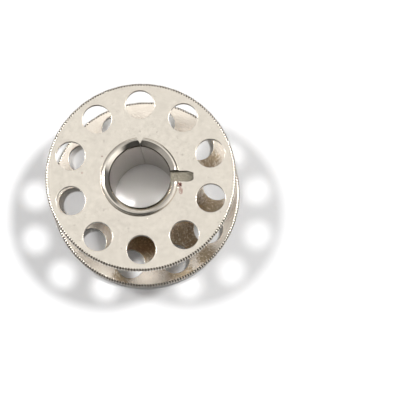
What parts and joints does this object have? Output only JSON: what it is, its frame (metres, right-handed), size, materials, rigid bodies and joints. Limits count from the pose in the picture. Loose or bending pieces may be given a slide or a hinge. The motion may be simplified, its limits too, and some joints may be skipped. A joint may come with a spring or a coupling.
{
  "type": "sewing machine bobbin",
  "caption": "Flat metal sewing-machine bobbin: two pierced flanges with knurled rims, crimped onto a rolled tube core that has a drive slot at one end.",
  "frame": {"origin": "on the bobbin's axis, at the crest of the lower crimp ring, on which the bobbin rests when it lies flat", "axes": "+Z along the axis, up towards the flange with the drive slot; +X along the drive slot; +Y towards the core's rolled seam"},
  "size_m": [0.0206, 0.0204, 0.0114],
  "materials": {
    "flange_nickel": "satin nickel plate on stamped steel",
    "core_nickel": "bright nickel plate on rolled steel, finely pitted"
  },
  "bodies": {
    "root": {"upper_flange": "flange_nickel", "lower_flange": "flange_nickel", "core_tube": "core_nickel"}
  },
  "joints": []
}
